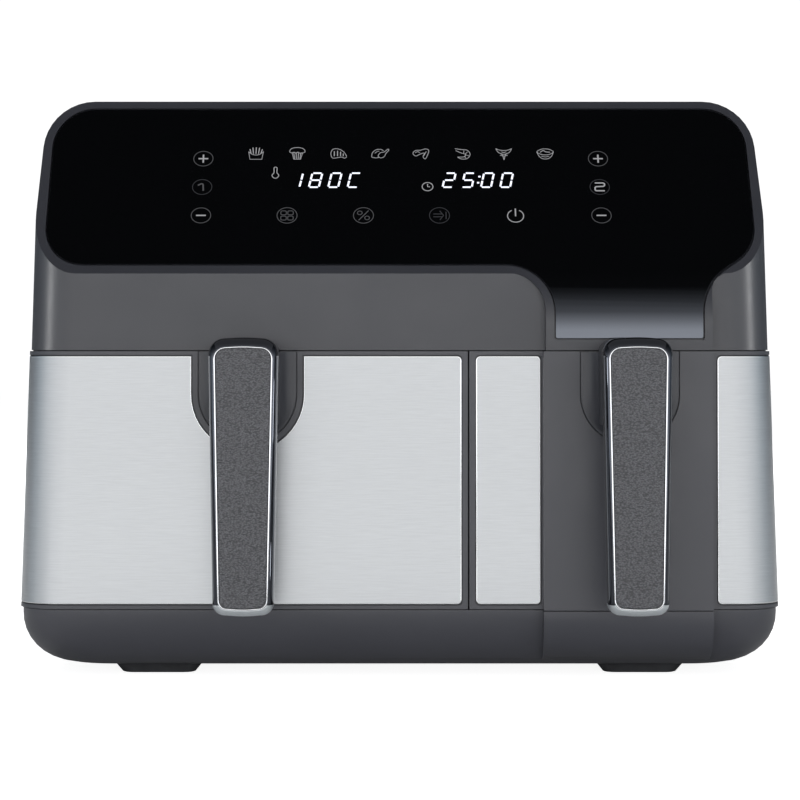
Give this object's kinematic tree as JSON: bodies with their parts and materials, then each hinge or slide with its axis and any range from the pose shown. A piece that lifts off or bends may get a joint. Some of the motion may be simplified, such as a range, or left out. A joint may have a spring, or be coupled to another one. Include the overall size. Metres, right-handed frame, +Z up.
{
  "type": "dual drawer air fryer",
  "caption": "Countertop air fryer with a sloping black touch panel, steel-fronted pull-out drawers of unequal width, each with a basket, lift-out tray and grip, and fans over coiled heaters.",
  "frame": {"origin": "centre of the overall footprint, on the surface the fryer stands on", "axes": "+Z up; the drawers and handles face -Y; +X is to the right of someone facing the drawers"},
  "size_m": [0.4136, 0.3998, 0.3176],
  "materials": {
    "housing_plastic": "satin charcoal moulding",
    "dark_plastic": "dark grey moulding",
    "panel_glass": "black gloss panel, opaque",
    "circuit_board": "green solder mask",
    "display": "digit and symbol module",
    "gland_rubber": "black moulding",
    "foot_rubber": "matt dark grey",
    "bright_steel": "bright steel",
    "brushed_steel_front": "fine horizontal brushing",
    "handle_chrome": "mirror chrome plating on a moulding",
    "grained_inlay": "leather-grained dark grey",
    "nonstick_coating": "dark non-stick coating, satin",
    "silicone": "soft grey silicone",
    "motor_iron": "laminated iron and winding cover",
    "heater_sheath": "heat-tinted sheath",
    "inner_sheet": "aluminised sheet"
  },
  "bodies": {
    "housing": {"base_tray": "housing_plastic", "outer_shell": "housing_plastic", "rear_cover": "dark_plastic", "control_panel": "panel_glass", "control_board": "circuit_board", "display_module": "display", "power_board": "circuit_board", "front_frame": "dark_plastic", "cord_gland": "gland_rubber", "rear_screw_1": "bright_steel", "rear_screw_2": "bright_steel", "rear_screw_3": "bright_steel", "rear_screw_4": "bright_steel", "foot_front_left": "foot_rubber", "foot_front_right": "foot_rubber", "foot_rear_left": "foot_rubber", "foot_rear_right": "foot_rubber", "cavity_left": "inner_sheet", "exhaust_duct_left": "inner_sheet", "heater_left": "heater_sheath", "motor_bracket_left": "inner_sheet", "motor_left": "motor_iron", "temperature_probe_left": "bright_steel", "cavity_right": "inner_sheet", "exhaust_duct_right": "inner_sheet", "heater_right": "heater_sheath", "motor_bracket_right": "inner_sheet", "motor_right": "motor_iron", "temperature_probe_right": "bright_steel"},
    "rotor_left": {"motor_shaft_left": "bright_steel", "hot_fan_left": "inner_sheet", "cooling_fan_left": "dark_plastic"},
    "crisper_left": {"crisper_plate_left": "nonstick_coating", "crisper_buffer_left_front": "silicone", "crisper_buffer_left_rear": "silicone"},
    "drawer_left": {"drawer_front_left": "housing_plastic", "steel_panel_left": "brushed_steel_front", "inner_cover_left": "dark_plastic", "handle_root_left": "housing_plastic", "handle_frame_left": "handle_chrome", "handle_inlay_left": "grained_inlay", "basket_left": "nonstick_coating"},
    "rotor_right": {"motor_shaft_right": "bright_steel", "hot_fan_right": "inner_sheet", "cooling_fan_right": "dark_plastic"},
    "crisper_right": {"crisper_plate_right": "nonstick_coating", "crisper_buffer_right_front": "silicone", "crisper_buffer_right_rear": "silicone"},
    "drawer_right": {"drawer_front_right": "housing_plastic", "steel_panel_right_inner": "brushed_steel_front", "steel_panel_right_outer": "brushed_steel_front", "inner_cover_right": "dark_plastic", "handle_root_right": "housing_plastic", "handle_frame_right": "handle_chrome", "handle_inlay_right": "grained_inlay", "basket_right": "nonstick_coating"}
  },
  "joints": [
    {"name": "drawer_left_slide", "type": "slide", "parent": "housing", "child": "drawer_left", "axis": [0, -1, 0], "range_m": [0, 0.26]},
    {"name": "drawer_right_slide", "type": "slide", "parent": "housing", "child": "drawer_right", "axis": [0, -1, 0], "range_m": [0, 0.26]},
    {"name": "crisper_left_lift", "type": "slide", "parent": "drawer_left", "child": "crisper_left", "axis": [0, 0, 1], "range_m": [0, 0.1]},
    {"name": "crisper_right_lift", "type": "slide", "parent": "drawer_right", "child": "crisper_right", "axis": [0, 0, 1], "range_m": [0, 0.1]},
    {"name": "fan_left_spin", "type": "hinge", "parent": "housing", "child": "rotor_left", "pos_m": [-0.08275, 0.03, 0.23], "axis": [0, 0, 1], "continuous": true},
    {"name": "fan_right_spin", "type": "hinge", "parent": "housing", "child": "rotor_right", "pos_m": [0.118, 0.03, 0.23], "axis": [0, 0, 1], "continuous": true}
  ]
}
